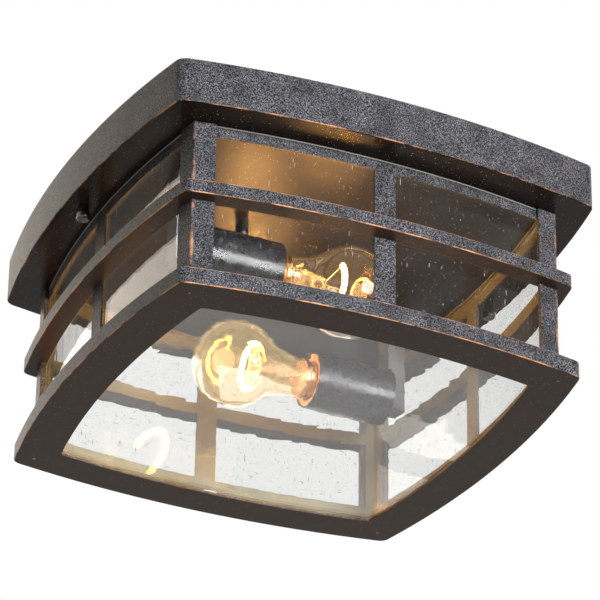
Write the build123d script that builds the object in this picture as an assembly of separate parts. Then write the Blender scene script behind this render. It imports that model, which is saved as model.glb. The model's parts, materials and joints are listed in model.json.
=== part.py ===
from build123d import *
import os
from math import atan2, cos, radians, sin, sqrt

# Outdoor ceiling light: a bowed square lantern that hangs under a ceiling.
# Millimetres. Z is up, Z = 0 is the ceiling, X runs along the front side, the front faces -Y.
# Every outline is a square with bowed sides. "half" is the distance from the middle of the
# lantern to the middle of a side.

# Bow of the sides: each side is an arc about a point this far behind the middle.
BOW_CENTRE = 550.0

# How far a cut runs past the face it opens
CUT_PAST = 1.0

# Pan and its lip
PAN_HALF = 165.0
PAN_DEPTH = 31.3
PAN_CORNER = 8.2
PAN_SHEET = 1.2
PAN_EDGE_ROUND = 0.9
LIP_INSET = 6.5
LIP_OPENING_CORNER = 3.0

# Cage: side frames, corner posts, mid band
CAGE_INSET = 25.0
CAGE_SHEET = 1.5
TOP_RAIL = 8.0
MIDDLE_POST = 15.0
BOTTOM_RAIL = 16.9
CORNER_POST_LEG = 14.4
CORNER_POST_SHEET = 3.0
CORNER_POST_BEND = 1.0
BAND_PROUD = 11.8
BAND_TOP = 79.2
BAND_HEIGHT = 9.4
BAND_CORNER = 6.5
BAND_SHEET = 1.2
BAND_EDGE_ROUND = 0.6

# Bottom frame and its opening
FRAME_PROUD = 14.8
FRAME_TOP = 144.1
FRAME_HEIGHT = 11.6
FRAME_CORNER = 7.1
FRAME_SHEET = 1.8
FRAME_EDGE_ROUND = 0.7
OPENING_INSET = 14.3
OPENING_CORNER = 3.4

# Glass
GLASS = 3.0
GLASS_GAP = 0.2
BOTTOM_GLASS_GAP = 2.2
BOTTOM_GLASS_CORNER = 2.0
TAB_WIDTH = 9.5
TAB_SHEET = 0.8
TAB_REACH = 6.0

# Ceiling plate, mounting disc and their studs
PLATE_INSET = 7.0
PLATE_CORNER = 6.0
PLATE_SHEET = 1.2
PLATE_LIP_GAP = 0.2
DISC_R = 62.0
DISC_SHEET = 2.0
DISC_WIRE_HOLE_R = 14.0
BOX_SCREW_SPACING = 88.9
BOX_SLOT_WIDTH = 5.0
BOX_SLOT_LENGTH = 14.0
STUD_R = 2.0
DISC_STUD_X = 49.3
DISC_STUD_Y = 25.5
LOCK_NUT_ACROSS = 7.0
LOCK_NUT_HEIGHT = 3.2
PLATE_NUT_R = 4.2
PLATE_NUT_LENGTH = 14.0
STUD_IN_NUT = 9.0
HOUSING_STUD_INSET = 12.5
HOUSING_STUD_HEAD_R = 4.0
HOUSING_STUD_HEAD = 1.2
LIP_HOLE_R = 2.6

# Cap nuts under the lip
CAP_NECK_R = 3.4
CAP_NECK_LENGTH = 5.5
CAP_HEAD_R = 4.7
CAP_HEAD_LENGTH = 5.5
CAP_HEAD_ROUND = 1.6
CAP_BORE_CLEARANCE = 0.05
CAP_BORE_DEPTH = 7.5
CAP_LIP_GAP = 0.1
STUD_END_GAP = 0.5

# Lamps: the axis lies along X, and the front one is the rear one turned half round.
LAMP_GLOBE_X = -12.6
LAMP_Y = 61.3
LAMP_DROP = 85.2
GLOBE_R = 30.0
NECK_R = 13.4
NECK_START = 46.0
BULB_GLASS = 0.9
BASE_START = 50.5
BASE_R = 13.0
BASE_LENGTH = 25.5
BASE_SKIRT_R = 14.1
BASE_SKIRT_LAP = 3.0
BASE_WALL = 0.8
BASE_END_CONE = 3.5
BASE_END_R = 8.5
INSULATOR_LENGTH = 1.5
INSULATOR_END_R = 5.0
TIP_R = 4.5
TIP_LENGTH = 2.0
STEM_END = 18.0
STEM_R = 4.0
STEM_WAIST_R = 6.8
FILAMENT_AT = 11.0
FILAMENT_RING_R = 16.0
FILAMENT_FROM_ANGLE = -85.0
FILAMENT_TO_ANGLE = 140.0
FILAMENT_SUPPORT_ANGLES = (-10.0, 65.0)
FRONT_LAMP_ANGLE = -100.0
FILAMENT_R = 0.7
LEAD_IN_R = 0.35
LEAD_IN_SPREAD = 2.4

# Sockets, measured along the lamp's axis from the middle of its globe
SLEEVE_MOUTH = 54.6
SLEEVE_LENGTH = 58.0
SLEEVE_R = 19.6
SLEEVE_WALL = 1.2
HOLDER_INSET = 1.0
HOLDER_GAP = 0.15
HOLDER_LENGTH = 46.0
HOLDER_MOUTH_ROUND = 1.0
SHELL_CLEARANCE = 0.06
SHELL_WALL = 0.5
SHELL_PAST_TIP = 4.0
CONTACT_R = 3.0
CONTACT_GAP = 0.3
CONTACT_SEAT = 1.0
CONTACT_SEAT_R = 4.2
NIPPLE_R = 5.0
NIPPLE_BORE_R = 3.6
NIPPLE_IN_HOLDER = 5.0
NIPPLE_IN_ARM = 3.0

# Socket arms
ARM_DEPTH = 12.7
ARM_WIDTH = 15.0
ARM_WALL = 1.2
ARM_BELOW_AXIS = 10.8
ARM_FLANGE = 1.5
ARM_FLANGE_LENGTH = 39.0
ARM_SCREW_SPACING = 27.0
SCREW_R = 1.5
SCREW_HEAD_R = 2.9
SCREW_HEAD = 1.8
SCREW_PAST_PLATE = 2.5

# Leads, from the lampholders up the arms and over the plate
LEAD_R = 1.2
LEAD_BEND = 5.0
LEAD_RISE = 3.5
LEAD_CROSSING = 3.0
LEAD_SPACING = 4.0
LEAD_IN_HOLDER = 8.0
CONNECTOR_X = 22.0
CONNECTOR_R = 5.5
CONNECTOR_TIP_R = 3.5
CONNECTOR_LENGTH = 13.0
CONNECTOR_SOCKET = 5.0
GROUND_SCREW_X = 30.0
GROUND_SCREW_Y = 34.0

# Levels, as Z
PAN_BOTTOM = -PAN_DEPTH
LIP_TOP = PAN_BOTTOM + PAN_SHEET
PLATE_BOTTOM = LIP_TOP + PLATE_LIP_GAP
PLATE_TOP = PLATE_BOTTOM + PLATE_SHEET
BAND_BOTTOM = -BAND_TOP - BAND_HEIGHT
FRAME_BOTTOM = -FRAME_TOP - FRAME_HEIGHT
FLANGE_TOP = FRAME_BOTTOM + FRAME_SHEET
BOTTOM_GLASS_TOP = FLANGE_TOP + GLASS
LAMP_Z = -LAMP_DROP

# Outlines, each from the one that it keeps to
CAGE_HALF = PAN_HALF - CAGE_INSET
LIP_OPENING_HALF = CAGE_HALF - LIP_INSET
BAND_HALF = CAGE_HALF + BAND_PROUD
FRAME_HALF = CAGE_HALF + FRAME_PROUD
OPENING_HALF = CAGE_HALF - OPENING_INSET
PLATE_HALF = PAN_HALF - PLATE_INSET
HOUSING_STUD_X = PAN_HALF - HOUSING_STUD_INSET
POST_HALF = CAGE_HALF + CORNER_POST_SHEET
SIDE_GLASS_HALF = CAGE_HALF - CAGE_SHEET - GLASS_GAP
BOTTOM_GLASS_HALF = SIDE_GLASS_HALF - GLASS - BOTTOM_GLASS_GAP

# Points along a lamp's axis
BASE_END = BASE_START + BASE_LENGTH - TIP_LENGTH - INSULATOR_LENGTH
TIP_START = BASE_END + INSULATOR_LENGTH
TIP_END = TIP_START + TIP_LENGTH
SLEEVE_END = SLEEVE_MOUTH + SLEEVE_LENGTH
HOLDER_START = SLEEVE_MOUTH + HOLDER_INSET
HOLDER_END = HOLDER_START + HOLDER_LENGTH
HOLDER_FLOOR = TIP_END + SHELL_PAST_TIP
SHELL_R = BASE_R + SHELL_CLEARANCE + SHELL_WALL

SIDES = ["front", "right", "back", "left"]
CORNERS = ["front_left", "front_right", "back_right", "back_left"]
NODES = {}


def corner_of(half):
    """Distance along X, and along Y, from the middle to the corner where two bowed sides meet."""
    radius = half + BOW_CENTRE
    return (sqrt(2 * radius**2 - BOW_CENTRE**2) - BOW_CENTRE) / 2


def bowed_block(half, bottom, top, corner=0.0):
    """A block with the bowed outline, its four upright edges rounded where corner is above zero."""
    c = corner_of(half)
    arcs = [
        ThreePointArc((-c, -c), (0, -half), (c, -c)),
        ThreePointArc((c, -c), (half, 0), (c, c)),
        ThreePointArc((c, c), (0, half), (-c, c)),
        ThreePointArc((-c, c), (-half, 0), (-c, -c)),
    ]
    outline = make_face(Wire(arcs))
    block = Pos(0, 0, bottom) * extrude(outline, top - bottom, dir=(0, 0, 1))
    if corner > 0:
        block = fillet(block.edges().filter_by(Axis.Z), corner)
    return block


def rounded_block(half, bottom, top, corner, edge, ends):
    """A bowed block with the rims of its lower end (0) or upper end (-1) rounded as well."""
    block = bowed_block(half, bottom, top, corner)
    for end in ends:
        block = fillet(block.faces().sort_by(Axis.Z)[end].edges(), edge)
    return block


def side_wedge(half, bottom, top):
    """The quarter of the plan that belongs to the front side, cut at the diagonals."""
    reach = 2 * half
    outline = Polyline((0, 0), (-reach, -reach), (reach, -reach), close=True)
    return Pos(0, 0, bottom) * extrude(make_face(outline), top - bottom, dir=(0, 0, 1))


def box_between(low, high):
    """A box between two corners."""
    size = [b - a for a, b in zip(low, high)]
    middle = [(a + b) / 2 for a, b in zip(low, high)]
    return Pos(*middle) * Box(*size)


def rod(radius, bottom, top, x=0.0, y=0.0):
    """An upright cylinder between two levels."""
    return Pos(x, y, (bottom + top) / 2) * Cylinder(radius, top - bottom)


def add(node, *solids):
    """Keeps the solids of one node."""
    NODES[node] = list(solids)


def make_pan():
    """Tray with bowed walls and an inward lip, open above, with a hole for each housing stud."""
    pan = rounded_block(PAN_HALF, PAN_BOTTOM, 0, PAN_CORNER, PAN_EDGE_ROUND, [0])
    pan -= bowed_block(PAN_HALF - PAN_SHEET, LIP_TOP, CUT_PAST, PAN_CORNER - PAN_SHEET)
    pan -= bowed_block(LIP_OPENING_HALF, PAN_BOTTOM - CUT_PAST, CUT_PAST, LIP_OPENING_CORNER)
    for x in (-HOUSING_STUD_X, HOUSING_STUD_X):
        pan -= rod(LIP_HOLE_R, PAN_BOTTOM - CUT_PAST, LIP_TOP + CUT_PAST, x)
    add("pan", pan)


def make_side_frames():
    """One bowed sheet a side, with two windows over two windows, mitred at the corners."""
    sheet = bowed_block(CAGE_HALF, FLANGE_TOP, PAN_BOTTOM)
    sheet -= bowed_block(CAGE_HALF - CAGE_SHEET, FLANGE_TOP - CUT_PAST, PAN_BOTTOM + CUT_PAST)
    sheet &= side_wedge(CAGE_HALF, FLANGE_TOP, PAN_BOTTOM)
    window_end = corner_of(POST_HALF) - CORNER_POST_LEG + CORNER_POST_SHEET
    rows = [(-BAND_TOP, PAN_BOTTOM - TOP_RAIL), (FLANGE_TOP + BOTTOM_RAIL, BAND_BOTTOM)]
    for bottom, top in rows:
        for near, far in ((MIDDLE_POST / 2, window_end), (-window_end, -MIDDLE_POST / 2)):
            sheet -= box_between((near, -2 * CAGE_HALF, bottom), (far, 0, top))
    for turn, side in enumerate(SIDES):
        add(f"side_frame_{side}", Rot(0, 0, 90 * turn) * sheet)


def make_corner_posts():
    """L strips over the corners of the cage, above and below the mid band."""
    inner = corner_of(POST_HALF) - CORNER_POST_LEG
    for level, bottom, top in (("upper", -BAND_TOP, PAN_BOTTOM), ("lower", -FRAME_TOP, BAND_BOTTOM)):
        post = bowed_block(POST_HALF, bottom, top, CORNER_POST_BEND)
        post -= bowed_block(CAGE_HALF, bottom - CUT_PAST, top + CUT_PAST)
        post &= box_between((-2 * POST_HALF, -2 * POST_HALF, bottom), (-inner, -inner, top))
        for turn, corner in enumerate(CORNERS):
            add(f"{level}_post_{corner}", Rot(0, 0, 90 * turn) * post)


def make_mid_band():
    """Ring of channel section round the cage, its open side against the side frames."""
    band = rounded_block(BAND_HALF, BAND_BOTTOM, -BAND_TOP, BAND_CORNER, BAND_EDGE_ROUND, [0, -1])
    band -= bowed_block(CAGE_HALF, BAND_BOTTOM - CUT_PAST, CUT_PAST - BAND_TOP)
    band -= bowed_block(
        BAND_HALF - BAND_SHEET, BAND_BOTTOM + BAND_SHEET, -BAND_TOP - BAND_SHEET, BAND_CORNER - BAND_SHEET
    )
    add("mid_band", band)


def make_bottom_frame():
    """Ring whose wide bottom flange carries the panes, with an outer wall and a top flange."""
    frame = rounded_block(FRAME_HALF, FRAME_BOTTOM, -FRAME_TOP, FRAME_CORNER, FRAME_EDGE_ROUND, [0, -1])
    frame -= bowed_block(
        FRAME_HALF - FRAME_SHEET, FLANGE_TOP, -FRAME_TOP - FRAME_SHEET, FRAME_CORNER - FRAME_SHEET
    )
    frame -= bowed_block(CAGE_HALF, FLANGE_TOP, CUT_PAST - FRAME_TOP)
    frame -= bowed_block(OPENING_HALF, FRAME_BOTTOM - CUT_PAST, FLANGE_TOP + CUT_PAST, OPENING_CORNER)
    add("bottom_frame", frame)


def make_glass():
    """Four bowed side panes inside the side frames, and a flat pane on the bottom flange."""
    top = PAN_BOTTOM - GLASS_GAP
    pane = bowed_block(SIDE_GLASS_HALF, FLANGE_TOP, top)
    pane -= bowed_block(SIDE_GLASS_HALF - GLASS, FLANGE_TOP - CUT_PAST, top + CUT_PAST)
    pane &= Pos(0, -GLASS_GAP, 0) * side_wedge(CAGE_HALF, FLANGE_TOP, top)
    for turn, side in enumerate(SIDES):
        add(f"side_glass_{side}", Rot(0, 0, 90 * turn) * pane)
    add("bottom_glass", bowed_block(BOTTOM_GLASS_HALF, FLANGE_TOP, BOTTOM_GLASS_TOP, BOTTOM_GLASS_CORNER))


def make_glass_tabs():
    """A bent tab at the middle of each side, up past the bottom pane and over its edge."""
    top = BOTTOM_GLASS_TOP + TAB_SHEET
    half = TAB_WIDTH / 2
    face = -BOTTOM_GLASS_HALF - GLASS_GAP
    tab = box_between((-half, face - TAB_SHEET, FLANGE_TOP), (half, face, top))
    tab += box_between((-half, face - TAB_SHEET, BOTTOM_GLASS_TOP), (half, face + TAB_REACH, top))
    add("glass_tabs", *[Rot(0, 0, 90 * turn) * tab for turn in range(len(SIDES))])


def hex_nut(across, height, bore, bottom, x, y):
    """A plain hexagon nut."""
    outline = RegularPolygon(across / 2, 6, major_radius=False)
    nut = Pos(x, y, bottom) * extrude(outline, height, dir=(0, 0, 1))
    return nut - rod(bore, bottom - CUT_PAST, bottom + height + CUT_PAST, x, y)


def make_ceiling_plate():
    """Flat sheet above the lip, with holes for studs, screws and leads."""
    plate = bowed_block(PLATE_HALF, PLATE_BOTTOM, PLATE_TOP, PLATE_CORNER)
    below, above = PLATE_BOTTOM - CUT_PAST, PLATE_TOP + CUT_PAST
    for x in (-HOUSING_STUD_X, HOUSING_STUD_X):
        plate -= rod(STUD_R, below, above, x)
    for turn in (-1, 1):
        plate -= rod(STUD_R, below, above, turn * DISC_STUD_X, turn * DISC_STUD_Y)
        arm_x, arm_y = turn * arm_middle_x(), turn * LAMP_Y
        plate -= rod(ARM_DEPTH / 2 - ARM_WALL, below, above, arm_x, arm_y)
        for step in (-1, 1):
            plate -= rod(SCREW_R, below, above, arm_x, arm_y + step * ARM_SCREW_SPACING / 2)
    add("ceiling_plate", plate)


def make_mounting_disc():
    """Round disc that screws to the outlet box, with a slot for each box screw."""
    below = -DISC_SHEET - CUT_PAST
    disc = rod(DISC_R, -DISC_SHEET, 0)
    disc -= rod(DISC_WIRE_HOLE_R, below, CUT_PAST)
    slot = extrude(SlotOverall(BOX_SLOT_LENGTH, BOX_SLOT_WIDTH), CUT_PAST - below, dir=(0, 0, 1))
    for side in (-1, 1):
        disc -= Pos(side * BOX_SCREW_SPACING / 2, 0, below) * slot
        disc -= rod(STUD_R, below, CUT_PAST, side * DISC_STUD_X, side * DISC_STUD_Y)
    disc -= rod(SCREW_R, below, CUT_PAST, GROUND_SCREW_X, -GROUND_SCREW_Y)
    add("mounting_disc", disc)


def make_disc_studs():
    """Studs from the disc down through the plate, with lock nuts and domed nuts."""
    studs, lock_nuts, domed_nuts = [], [], []
    stud_end = PLATE_BOTTOM - STUD_IN_NUT
    nut_end = PLATE_BOTTOM - PLATE_NUT_LENGTH
    for side in (-1, 1):
        x, y = side * DISC_STUD_X, side * DISC_STUD_Y
        studs.append(rod(STUD_R, stud_end, 0, x, y))
        for bottom in (PLATE_TOP, -DISC_SHEET - LOCK_NUT_HEIGHT):
            lock_nuts.append(hex_nut(LOCK_NUT_ACROSS, LOCK_NUT_HEIGHT, STUD_R, bottom, x, y))
        nut = rod(PLATE_NUT_R, nut_end + PLATE_NUT_R, PLATE_BOTTOM, x, y)
        nut += Pos(x, y, nut_end + PLATE_NUT_R) * Sphere(PLATE_NUT_R)
        domed_nuts.append(nut - rod(STUD_R, stud_end, PLATE_BOTTOM + CUT_PAST, x, y))
    add("disc_studs", *studs)
    add("stud_lock_nuts", *lock_nuts)
    add("plate_nuts", *domed_nuts)


def make_housing_studs():
    """Studs welded into the plate, which reach down through the lip into the cap nuts."""
    end = PAN_BOTTOM - CAP_LIP_GAP - CAP_BORE_DEPTH + STUD_END_GAP
    studs = []
    for x in (-HOUSING_STUD_X, HOUSING_STUD_X):
        head = rod(HOUSING_STUD_HEAD_R, PLATE_TOP, PLATE_TOP + HOUSING_STUD_HEAD, x)
        studs.append(rod(STUD_R, end, PLATE_TOP, x) + head)
    add("housing_studs", *studs)


def make_cap_nuts():
    """Turned nuts with a narrow neck and a rounded head, bored blind for the stud."""
    top = PAN_BOTTOM - CAP_LIP_GAP
    head_top = top - CAP_NECK_LENGTH
    bottom = head_top - CAP_HEAD_LENGTH
    for side, x in (("left", -HOUSING_STUD_X), ("right", HOUSING_STUD_X)):
        head = rod(CAP_HEAD_R, bottom, head_top, x)
        head = fillet(head.edges().filter_by(GeomType.CIRCLE), CAP_HEAD_ROUND)
        nut = head + rod(CAP_NECK_R, head_top - CAP_HEAD_ROUND, top, x)
        nut -= rod(STUD_R + CAP_BORE_CLEARANCE, top - CAP_BORE_DEPTH, top + CUT_PAST, x)
        add(f"cap_nut_{side}", nut)


def arm_middle_x():
    """Where the middle of the rear socket's arm lies along X."""
    return LAMP_GLOBE_X + SLEEVE_END + ARM_DEPTH / 2


def at_lamps(name, part):
    """Adds the rear lamp's piece, and the front one turned half round."""
    rear = Pos(LAMP_GLOBE_X, LAMP_Y, LAMP_Z) * part
    add(f"{name}_back", rear)
    add(f"{name}_front", Rot(0, 0, 180) * rear)


def turned(*points):
    """A solid turned about the lamp's axis from points of (along, radius)."""
    outline = make_face(Polyline(*points, close=True))
    return revolve(outline, Axis.X)


def tube(start, end, outer, inner):
    """A tube about the lamp's axis."""
    return turned((start, inner), (start, outer), (end, outer), (end, inner))


def make_socket_arms():
    """Hollow arms under the plate, closed below, with a flange and a hole for the nipple."""
    bottom = LAMP_Z - ARM_BELOW_AXIS
    middle_x = arm_middle_x()
    half_x, half_y = ARM_DEPTH / 2, ARM_WIDTH / 2
    arm = box_between((-half_x, -half_y, bottom), (half_x, half_y, PLATE_BOTTOM))
    flange_low = (-half_x, -ARM_FLANGE_LENGTH / 2, PLATE_BOTTOM - ARM_FLANGE)
    arm += box_between(flange_low, (half_x, ARM_FLANGE_LENGTH / 2, PLATE_BOTTOM))
    inside_low = (ARM_WALL - half_x, ARM_WALL - half_y, bottom + ARM_WALL)
    arm -= box_between(inside_low, (half_x - ARM_WALL, half_y - ARM_WALL, PLATE_BOTTOM + CUT_PAST))
    arm -= Pos(-half_x, 0, LAMP_Z) * Rot(0, 90, 0) * Cylinder(NIPPLE_R, 4 * ARM_WALL)
    screws = []
    for step in (-1, 1):
        y = step * ARM_SCREW_SPACING / 2
        arm -= rod(SCREW_R, PLATE_BOTTOM - 2 * ARM_FLANGE, PLATE_BOTTOM + CUT_PAST, 0, y)
        head_top = PLATE_BOTTOM - ARM_FLANGE
        screw = rod(SCREW_R, head_top, PLATE_TOP + SCREW_PAST_PLATE, 0, y)
        screws.append(screw + rod(SCREW_HEAD_R, head_top - SCREW_HEAD, head_top, 0, y))
    place = Pos(middle_x, LAMP_Y, 0)
    half_turn = Rot(0, 0, 180)
    add("socket_arm_back", place * arm)
    add("socket_arm_front", half_turn * place * arm)
    add("arm_screws", *[turn * place * screw for turn in (Rot(0, 0, 0), half_turn) for screw in screws])


def make_sockets():
    """Sleeve, ceramic holder, brass shell, centre contact and nipple of each socket."""
    inner = SLEEVE_R - SLEEVE_WALL
    sleeve = tube(SLEEVE_MOUTH, SLEEVE_END, SLEEVE_R, inner)
    sleeve += tube(SLEEVE_END - SLEEVE_WALL, SLEEVE_END, inner, NIPPLE_R)
    at_lamps("socket_sleeve", sleeve)

    holder_r = inner - HOLDER_GAP
    holder = tube(HOLDER_START, HOLDER_END, holder_r, NIPPLE_BORE_R)
    holder -= tube(HOLDER_START - CUT_PAST, HOLDER_FLOOR, SHELL_R, 0)
    nipple_start = HOLDER_END - NIPPLE_IN_HOLDER
    nipple_end = SLEEVE_END + ARM_WALL + NIPPLE_IN_ARM
    holder -= tube(nipple_start, HOLDER_END + CUT_PAST, NIPPLE_R, 0)
    rim = holder.edges().filter_by(GeomType.CIRCLE).group_by(Axis.X)[0]
    at_lamps("lampholder", fillet(rim, HOLDER_MOUTH_ROUND))

    shell_start = HOLDER_START + 2 * HOLDER_MOUTH_ROUND
    at_lamps("screw_shell", tube(shell_start, HOLDER_FLOOR, SHELL_R, SHELL_R - SHELL_WALL))
    contact_start = TIP_END + CONTACT_GAP
    contact = turned(
        (contact_start, 0), (contact_start, CONTACT_R), (HOLDER_FLOOR - CONTACT_SEAT, CONTACT_SEAT_R),
        (HOLDER_FLOOR, CONTACT_SEAT_R), (HOLDER_FLOOR, 0),
    )
    at_lamps("centre_contact", contact)
    at_lamps("socket_nipple", tube(nipple_start, nipple_end, NIPPLE_R, NIPPLE_BORE_R))


def envelope_outline(wall):
    """Points where a lamp's outline, drawn in by a wall, goes from globe to waist to neck."""
    globe, neck = GLOBE_R - wall, NECK_R - wall
    waist = (NECK_START**2 + NECK_R**2 - GLOBE_R**2) / (2 * (GLOBE_R - NECK_R)) + wall
    lean = atan2(neck + waist, NECK_START)
    join = (globe * cos(lean), globe * sin(lean))
    halfway = (lean + radians(90)) / 2
    waist_point = (NECK_START - waist * cos(halfway), neck + waist - waist * sin(halfway))
    return globe, neck, join, waist_point


def envelope_edges(wall):
    """The globe, the waist and the neck of a lamp's glass, from the tip to the base."""
    globe, neck, join, waist_point = envelope_outline(wall)
    bulge = (0.0, globe)
    return [
        ThreePointArc((-globe, 0), bulge, join),
        ThreePointArc(join, waist_point, (NECK_START, neck)),
        Line((NECK_START, neck), (BASE_START, neck)),
    ]


def make_lamps():
    """Clear lamps: thin envelope, screw base, insulator, tip, stem, lead-in wires and filament."""
    inner_neck = NECK_R - BULB_GLASS
    outside, inside = envelope_edges(0), envelope_edges(BULB_GLASS)
    end = Line((BASE_START, NECK_R), (BASE_START, inner_neck))
    tip = Line((-GLOBE_R + BULB_GLASS, 0), (-GLOBE_R, 0))
    at_lamps("lamp_glass", revolve(make_face(Wire([*outside, end, *inside, tip])), Axis.X))

    skirt = BASE_START - BASE_SKIRT_LAP
    bore = BASE_R - BASE_WALL
    cone = BASE_END - BASE_END_CONE
    base = turned(
        (skirt, NECK_R), (skirt, BASE_SKIRT_R), (BASE_START, BASE_SKIRT_R),
        (BASE_START + BASE_SKIRT_R - BASE_R, BASE_R), (cone, BASE_R), (BASE_END, BASE_END_R),
        (BASE_END, BASE_END_R - BASE_WALL), (cone, bore), (BASE_START, bore), (BASE_START, NECK_R),
    )
    at_lamps("lamp_base", base)
    insulator = turned((BASE_END, 0), (BASE_END, BASE_END_R), (TIP_START, INSULATOR_END_R), (TIP_START, 0))
    at_lamps("lamp_insulator", insulator)
    tip = turned((TIP_START, 0), (TIP_START, TIP_R), (TIP_END, TIP_R / 2), (TIP_END, 0))
    at_lamps("lamp_tip", tip)

    flare = BASE_START - BULB_GLASS
    stem = turned(
        (BASE_START, 0), (BASE_START, inner_neck), (flare, inner_neck), (NECK_START, STEM_WAIST_R),
        ((STEM_END + NECK_START) / 2, STEM_WAIST_R), (STEM_END, STEM_R), (STEM_END, 0),
    )
    at_lamps("lamp_stem", stem)
    make_filament(stem)


def on_ring(degrees):
    """A point on the filament's ring, which stands square to the lamp's axis."""
    turn = radians(degrees)
    return Vector(FILAMENT_AT, FILAMENT_RING_R * cos(turn), FILAMENT_RING_R * sin(turn))


def make_filament(stem):
    """A filament bent to part of a ring, held by two lead-in wires and two supports from the stem."""
    middle = (FILAMENT_FROM_ANGLE + FILAMENT_TO_ANGLE) / 2
    arc = ThreePointArc(on_ring(FILAMENT_FROM_ANGLE), on_ring(middle), on_ring(FILAMENT_TO_ANGLE))
    ring = Plane(origin=arc.position_at(0), z_dir=arc.tangent_at(0)) * Circle(FILAMENT_R)
    filament = sweep(ring, path=arc)
    wires = []
    for degrees in (FILAMENT_FROM_ANGLE, *FILAMENT_SUPPORT_ANGLES, FILAMENT_TO_ANGLE):
        turn = radians(degrees)
        foot = Vector(STEM_END, LEAD_IN_SPREAD * cos(turn), LEAD_IN_SPREAD * sin(turn))
        run = on_ring(degrees) - foot
        on_its_end = (Align.CENTER, Align.CENTER, Align.MIN)
        wire = Plane(origin=foot, z_dir=run) * Cylinder(LEAD_IN_R, run.length, align=on_its_end)
        wires.append(wire - filament - stem)
    back = Pos(LAMP_GLOBE_X, LAMP_Y, LAMP_Z)
    front = Rot(0, 0, 180) * back * Rot(FRONT_LAMP_ANGLE, 0, 0)
    for lamp, place in (("back", back), ("front", front)):
        add(f"filament_{lamp}", place * filament)
        add(f"lead_in_wires_{lamp}", *[place * wire for wire in wires])


def lead(points):
    """A lead along straight runs with rounded corners."""
    path = FilletPolyline(*points, radius=LEAD_BEND)
    start = Plane(origin=path.position_at(0), z_dir=path.tangent_at(0))
    return sweep(start * Circle(LEAD_R), path=path)


def make_leads():
    """A live and a neutral lead from each holder, up its arm and over the plate to a connector."""
    mouth = PLATE_TOP + LEAD_RISE + LEAD_CROSSING + LEAD_BEND
    end = mouth + CONNECTOR_SOCKET
    connectors = []
    for kind, side, rise in (("live_leads", -1, LEAD_RISE), ("neutral_leads", 1, LEAD_RISE + LEAD_CROSSING)):
        level = PLATE_TOP + rise
        connector_x = side * CONNECTOR_X
        on_its_end = (Align.CENTER, Align.CENTER, Align.MIN)
        cone = Cone(CONNECTOR_R, CONNECTOR_TIP_R, CONNECTOR_LENGTH, align=on_its_end)
        connector = Pos(connector_x, 0, mouth) * cone
        leads = []
        for turn in (-1, 1):
            x = turn * arm_middle_x()
            start_x = turn * (LAMP_GLOBE_X + HOLDER_END - LEAD_IN_HOLDER)
            y = turn * LAMP_Y + side * LEAD_SPACING / 2
            end_y = turn * LEAD_SPACING / 2
            leads.append(
                lead([
                    (start_x, y, LAMP_Z), (x, y, LAMP_Z), (x, y, level), (connector_x, y, level),
                    (connector_x, end_y, level), (connector_x, end_y, end),
                ])
            )
            connector -= rod(LEAD_R, mouth - CUT_PAST, end, connector_x, end_y)
        add(kind, *leads)
        connectors.append(connector)
    add("wire_connectors", *connectors)


def make_ground():
    """Ground screw in the mounting disc, with its head under it."""
    x, y = GROUND_SCREW_X, -GROUND_SCREW_Y
    head_top = -DISC_SHEET
    screw = rod(SCREW_R, head_top, 0, x, y)
    add("ground_screw", screw + rod(SCREW_HEAD_R, head_top - SCREW_HEAD, head_top, x, y))


def export_nodes():
    """Writes one STEP file a node."""
    os.makedirs("parts", exist_ok=True)
    for node, solids in NODES.items():
        shape = solids[0] if len(solids) == 1 else Compound(children=solids)
        export_step(shape, f"parts/{node}.step")


make_pan()
make_side_frames()
make_corner_posts()
make_mid_band()
make_bottom_frame()
make_glass()
make_glass_tabs()
make_ceiling_plate()
make_mounting_disc()
make_disc_studs()
make_housing_studs()
make_cap_nuts()
make_socket_arms()
make_sockets()
make_lamps()
make_leads()
make_ground()
export_nodes()
print(len(NODES), "nodes")
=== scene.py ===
# %% [markdown]
# # Outdoor ceiling light
# A square porch lantern with bowed sides that lies flat under a ceiling. Every solid comes from the
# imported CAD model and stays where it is. This script gives each one its finish, adds the fine pieces
# that are too small or too many for CAD, and puts the light, the floor and the camera in place.

# %% Load the frame
import json
from math import cos, pi, radians, sin

import bpy
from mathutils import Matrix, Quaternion, Vector


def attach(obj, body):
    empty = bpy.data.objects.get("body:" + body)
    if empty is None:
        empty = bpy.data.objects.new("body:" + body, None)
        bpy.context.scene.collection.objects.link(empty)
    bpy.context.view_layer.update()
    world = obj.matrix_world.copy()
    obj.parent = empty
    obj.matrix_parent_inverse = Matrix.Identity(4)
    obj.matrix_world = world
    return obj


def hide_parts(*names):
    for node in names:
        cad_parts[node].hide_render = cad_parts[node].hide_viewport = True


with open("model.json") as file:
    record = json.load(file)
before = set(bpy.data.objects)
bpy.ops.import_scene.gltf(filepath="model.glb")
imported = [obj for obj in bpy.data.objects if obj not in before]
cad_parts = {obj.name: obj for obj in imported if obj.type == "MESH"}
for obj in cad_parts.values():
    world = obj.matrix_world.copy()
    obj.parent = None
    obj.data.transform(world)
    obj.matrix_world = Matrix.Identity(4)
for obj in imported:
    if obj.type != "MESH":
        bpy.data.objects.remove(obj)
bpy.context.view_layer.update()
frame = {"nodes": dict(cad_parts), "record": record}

# %% [markdown]
# ## Camera
# The camera was worked out from the outlines of the pan, the band and the bottom frame: a long lens,
# below the lantern and to its left. Building it from an azimuth, an elevation and a roll keeps the
# numbers readable, where a pasted matrix would not.

# %% Camera
PHOTO_PIXELS = 600
FOCAL_PIXELS = 3476.18
SENSOR_MM = 36.0
AZIMUTH = radians(-25.104)
ELEVATION = radians(-28.796)
ROLL = radians(0.864)
DISTANCE = 2.36727
ASIDE = 0.00479
LIFT = -0.05663
FARTHEST_SEEN = 100.0

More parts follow.
